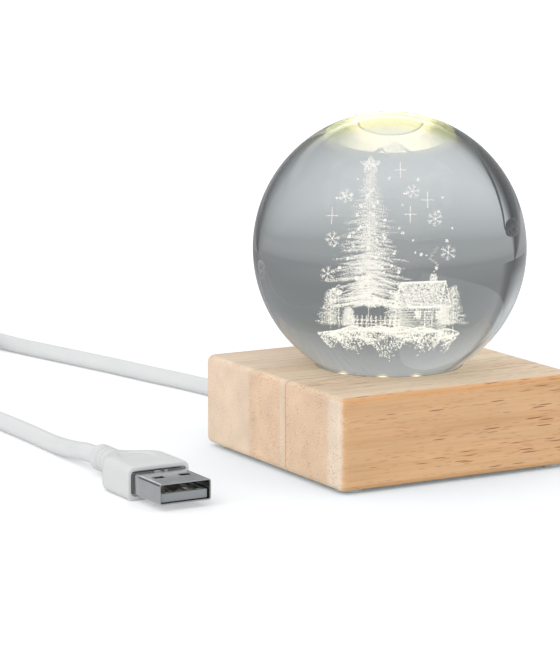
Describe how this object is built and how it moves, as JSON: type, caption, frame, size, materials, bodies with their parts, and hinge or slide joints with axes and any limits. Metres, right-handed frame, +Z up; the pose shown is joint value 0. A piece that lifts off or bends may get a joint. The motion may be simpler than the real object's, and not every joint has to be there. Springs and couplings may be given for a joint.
{
  "type": "crystal ball lamp",
  "caption": "Small USB table lamp: a clear glass ball with an engraving inside rests on a square wooden base, lit by LEDs from below, with a white lead, spare coil and plug.",
  "frame": {"origin": "on the table, under the middle of the wooden base", "axes": "+Z up, -Y the long-grain front, -X the end-grain side, +Y the back where the lead leaves"},
  "size_m": [0.114, 0.2358, 0.0765],
  "materials": {
    "wood": "sanded rubberwood with a thin clear coat, fine pores, long grain along X",
    "glass_ball": "polished clear crystal glass",
    "clear_silicone": "clear silicone, satin",
    "circuit_board": "white solder mask on glass-fibre board",
    "led_lens": "white case with a yellow phosphor lens",
    "resistor_body": "black ceramic chip with tinned ends",
    "steel_screw": "zinc-plated steel",
    "wire_red": "red PVC insulation",
    "wire_black": "black PVC insulation",
    "nylon": "natural nylon",
    "cord_pvc": "white soft PVC jacket, satin",
    "boot_pvc": "white moulded PVC, fine matt texture",
    "cover_plastic": "black ABS sheet, fine spark texture",
    "foot_silicone": "translucent silicone",
    "tie_strap": "white releasable strap",
    "plug_steel": "nickel-plated folded steel",
    "plug_plastic": "grey moulded PBT",
    "plug_gold": "gold-plated contact strip"
  },
  "bodies": {
    "base": {"wooden_base": "wood", "led_board": "circuit_board", "led_1": "led_lens", "led_2": "led_lens", "led_3": "led_lens", "led_4": "led_lens", "led_5": "led_lens", "led_6": "led_lens", "resistor_1": "resistor_body", "resistor_2": "resistor_body", "board_screw_1": "steel_screw", "board_screw_2": "steel_screw", "board_screw_3": "steel_screw", "wire_red": "wire_red", "wire_black": "wire_black", "cable_tie_stop": "nylon", "cord_grommet": "cord_pvc", "cord_inner_end": "cord_pvc", "bottom_cover": "cover_plastic", "cover_screw_1": "steel_screw", "cover_screw_2": "steel_screw", "cover_screw_3": "steel_screw", "cover_screw_4": "steel_screw", "foot_1": "foot_silicone", "foot_2": "foot_silicone", "foot_3": "foot_silicone", "foot_4": "foot_silicone", "cord_lead": "cord_pvc", "cord_coil": "cord_pvc", "cord_tail": "cord_pvc", "cord_tie": "tie_strap", "plug_boot": "boot_pvc", "plug_shell": "plug_steel", "plug_tongue": "plug_plastic", "plug_contact_1": "plug_gold", "plug_contact_2": "plug_gold", "plug_contact_3": "plug_gold", "plug_contact_4": "plug_gold"},
    "seat": {"seat_ring": "clear_silicone"},
    "ball": {"crystal_ball": "glass_ball"}
  },
  "joints": [
    {"name": "ball_turn", "type": "hinge", "parent": "base", "child": "seat", "pos_m": [0, 0, 0.0208], "axis": [0, 0, 1], "continuous": true},
    {"name": "ball_lift", "type": "slide", "parent": "seat", "child": "ball", "axis": [0, 0, 1], "range_m": [0, 0.03]}
  ]
}
